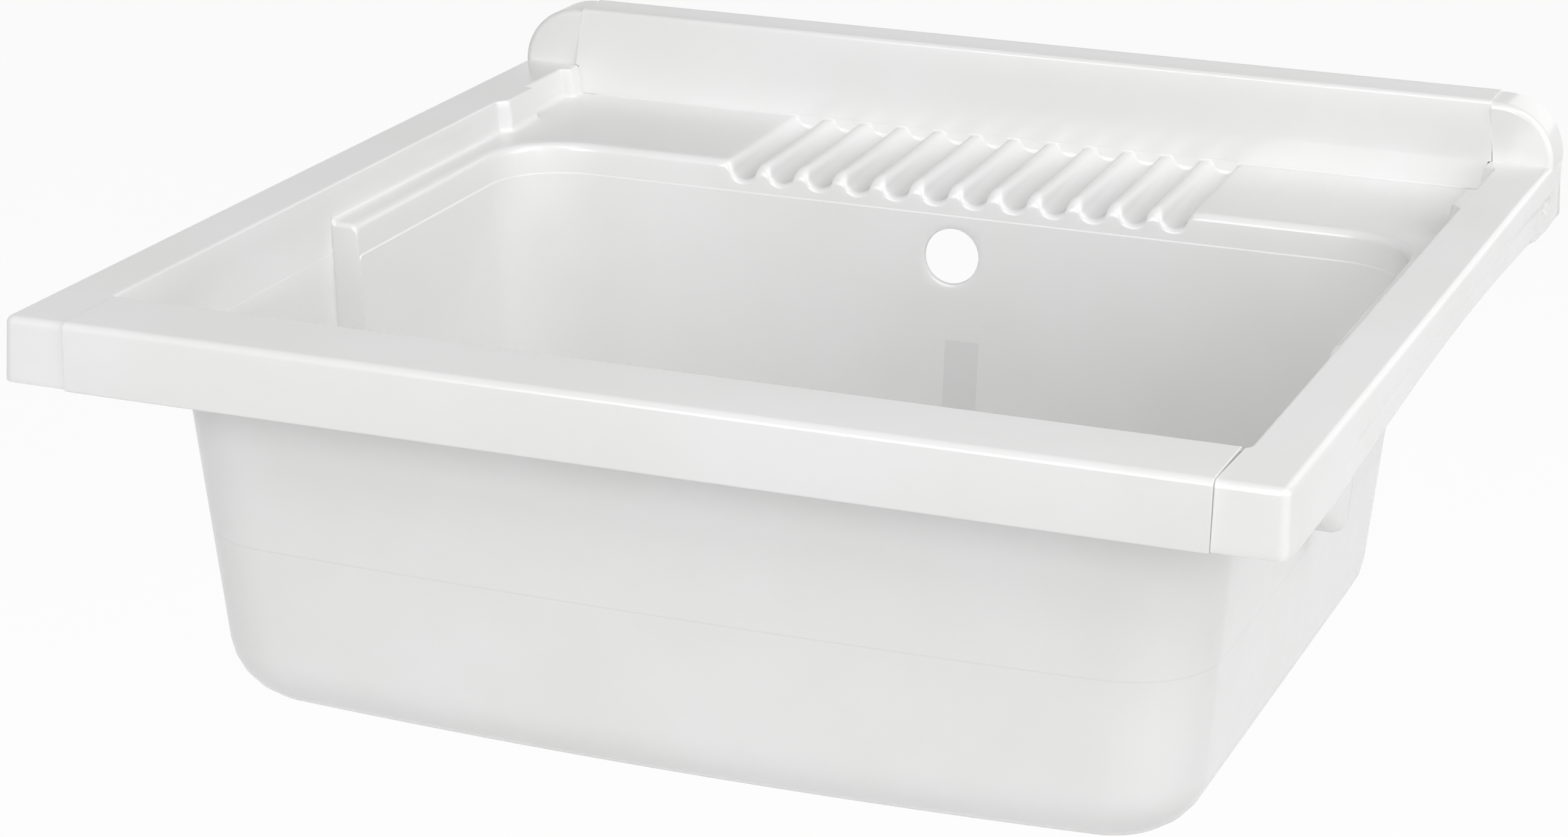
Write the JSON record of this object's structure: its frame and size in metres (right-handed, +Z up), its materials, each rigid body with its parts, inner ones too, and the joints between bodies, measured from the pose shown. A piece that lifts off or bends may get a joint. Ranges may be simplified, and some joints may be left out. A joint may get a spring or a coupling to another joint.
{
  "type": "utility laundry sink",
  "caption": "Square laundry sink with a deep drafted bowl, a washboard on its rear deck, a low splash, clip-on rim covers, an overflow hole and a strainer waste with plug.",
  "frame": {"origin": "on the wall face of the tub, midway across, at the height of the rim's flat top", "axes": "+X to the right seen from the front, +Y from the front edge to the wall, +Z up"},
  "size_m": [0.6, 0.6, 0.327],
  "materials": {
    "moulded_plastic": "white moulded plastic, satin gloss",
    "fitting_plastic": "pale moulded plastic, smooth",
    "steel": "stainless steel, fine brushing",
    "rubber": "dark moulded rubber"
  },
  "bodies": {
    "sink": {"tub": "moulded_plastic", "front_cover": "moulded_plastic", "splash_cover": "moulded_plastic", "front_cover_screw_1": "steel", "front_cover_screw_2": "steel", "front_cover_screw_3": "steel", "front_cover_screw_4": "steel", "splash_cover_screw_1": "steel", "splash_cover_screw_2": "steel", "splash_cover_screw_3": "steel", "splash_cover_screw_4": "steel", "seat_gasket": "rubber", "strainer_dish": "steel", "body_gasket": "rubber", "waste_body": "fitting_plastic", "centre_screw": "steel", "outlet_washer": "rubber", "outlet_nut": "fitting_plastic", "tailpiece": "fitting_plastic"},
    "stopper": {"plug": "rubber", "pull_ring": "steel"}
  },
  "joints": [
    {"name": "plug_lift", "type": "slide", "parent": "sink", "child": "stopper", "axis": [0, 0, 1], "range_m": [0, 0.06]}
  ]
}
